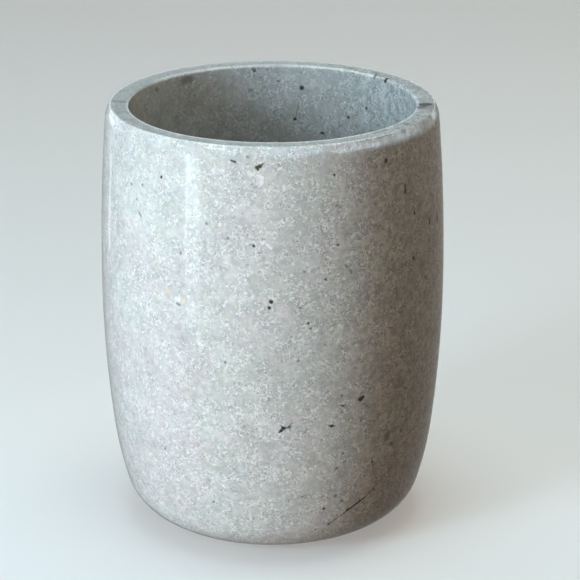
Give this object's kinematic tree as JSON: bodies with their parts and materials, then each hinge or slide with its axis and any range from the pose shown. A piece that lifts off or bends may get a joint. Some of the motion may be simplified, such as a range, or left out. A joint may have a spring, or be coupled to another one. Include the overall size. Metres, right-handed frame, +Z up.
{
  "type": "bathroom tumbler",
  "caption": "Barrel-shaped bathroom tumbler turned and bored from a solid block of pale speckled stone, with a rounded rim and small clear pads under its flat base.",
  "frame": {"origin": "on the tumbler's axis, level with the undersides of its base pads", "axes": "+Z up along the tumbler's axis; the tumbler is round, so +X and +Y are free"},
  "size_m": [0.08, 0.08, 0.1002],
  "materials": {
    "stone": "honed to a soft sheen, with fine shell flecks, pits and a hair vein",
    "clear_pad": "clear soft polyurethane, slightly glossy",
    "adhesive_film": "clear, slightly milky film"
  },
  "bodies": {
    "root": {"stone_body": "stone", "base_pad_1": "clear_pad", "base_pad_2": "clear_pad", "base_pad_3": "clear_pad", "base_pad_4": "clear_pad", "pad_adhesive_1": "adhesive_film", "pad_adhesive_2": "adhesive_film", "pad_adhesive_3": "adhesive_film", "pad_adhesive_4": "adhesive_film"}
  },
  "joints": []
}
